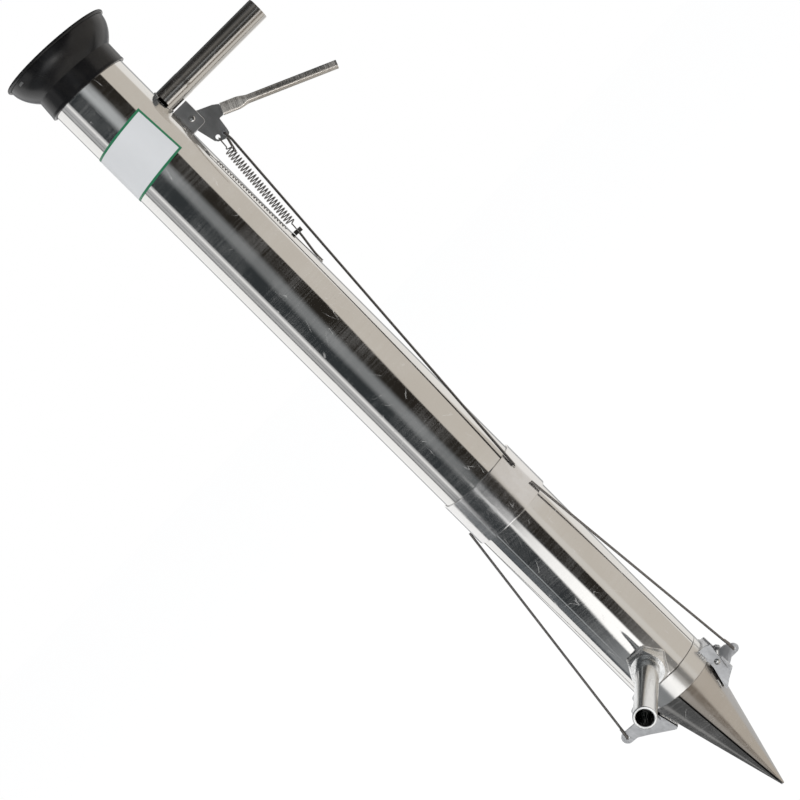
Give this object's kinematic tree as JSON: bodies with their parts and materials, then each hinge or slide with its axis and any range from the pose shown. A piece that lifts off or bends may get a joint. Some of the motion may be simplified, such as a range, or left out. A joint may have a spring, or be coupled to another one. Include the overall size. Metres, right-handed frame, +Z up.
{
  "type": "hand seedling planter",
  "caption": "Hand-held drop-tube planter with a top funnel, a squeeze lever under a side handle, a pull rod and links, a foot peg and two opening cone jaws.",
  "frame": {"origin": "tip of the closed jaws, on the tube's axis", "axes": "+Z up the tube towards the funnel, +X along the handle, the foot peg points towards -Y"},
  "size_m": [0.2507, 0.1974, 0.9412],
  "materials": {
    "polished_steel": "polished",
    "brushed_steel": "brushed",
    "satin_steel": "satin",
    "zinc": "bright zinc",
    "wire": "satin",
    "dark_steel": "dark",
    "black_plastic": "satin",
    "label": "matt"
  },
  "bodies": {
    "planter": {"funnel": "black_plastic", "main_tube": "polished_steel", "label": "label", "handle_tube": "polished_steel", "lever_bracket": "satin_steel", "lever_rivet": "zinc", "spring_anchor_nut": "dark_steel", "spring_anchor_rod": "wire", "lower_collar": "polished_steel", "hinge_bracket_right": "satin_steel", "hinge_bracket_left": "satin_steel", "hinge_pin_right": "zinc", "hinge_pin_left": "zinc", "peg_nut": "zinc", "foot_peg": "zinc"},
    "lever": {"lever_plate": "satin_steel", "lever_grip": "satin_steel"},
    "sleeve": {"slide_sleeve": "brushed_steel", "link_left": "wire"},
    "pull_rod": {"pull_rod": "wire"},
    "link_right": {"link_right": "wire"},
    "jaw_right": {"jaw_right": "brushed_steel", "jaw_bracket_right": "satin_steel"},
    "jaw_left": {"jaw_left": "brushed_steel", "jaw_bracket_left": "satin_steel"},
    "spring": {"return_spring": "wire"},
    "spring_end": {"spring_hook": "wire"}
  },
  "joints": [
    {"name": "lever_pivot", "type": "hinge", "parent": "planter", "child": "lever", "pos_m": [0.0457, 0, 0.8122], "axis": [0, -1, 0], "range_deg": [0, 21], "stiffness_Nm_per_rad": 0.6, "springref_deg": -68.75},
    {"name": "sleeve_slide", "type": "slide", "parent": "planter", "child": "sleeve", "axis": [0, 0, 1], "range_m": [0, 0.0069]},
    {"name": "pull_rod_flex", "type": "hinge", "parent": "sleeve", "child": "pull_rod", "pos_m": [0.03132, -0.02723, 0.394], "axis": [0, 1, 0], "range_deg": [0, 1.42]},
    {"name": "link_right_flex", "type": "hinge", "parent": "sleeve", "child": "link_right", "pos_m": [0.03156, -0.02695, 0.3725], "axis": [-0.3007, -0.9537, 0], "range_deg": [0, 0.62]},
    {"name": "jaw_right_hinge", "type": "hinge", "parent": "planter", "child": "jaw_right", "pos_m": [0.04006, -0.01263, 0.1345], "axis": [-0.3007, -0.9537, 0], "range_deg": [0, 28.2]},
    {"name": "jaw_left_hinge", "type": "hinge", "parent": "planter", "child": "jaw_left", "pos_m": [-0.04959, 0.01564, 0.1345], "axis": [0.3007, 0.9537, 0], "range_deg": [0, 20.3]},
    {"name": "spring_swing", "type": "hinge", "parent": "planter", "child": "spring", "pos_m": [0.0424, 0, 0.6765], "axis": [0, 1, 0], "range_deg": [0, 4.65]},
    {"name": "spring_stretch", "type": "slide", "parent": "spring", "child": "spring_end", "axis": [0.0763, 0, 0.9971], "range_m": [0, 0.0047], "deforming": ["return_spring"]}
  ],
  "couplings": [
    {"joint": "sleeve_slide", "follows": "lever_pivot", "m_per_rad": 0.0188},
    {"joint": "pull_rod_flex", "follows": "lever_pivot", "ratio": 0.0666},
    {"joint": "link_right_flex", "follows": "lever_pivot", "ratio": 0.028},
    {"joint": "jaw_right_hinge", "follows": "lever_pivot", "ratio": 1.338},
    {"joint": "jaw_left_hinge", "follows": "lever_pivot", "ratio": 0.9623},
    {"joint": "spring_swing", "follows": "lever_pivot", "ratio": 0.2193},
    {"joint": "spring_stretch", "follows": "lever_pivot", "m_per_rad": 0.01274}
  ]
}
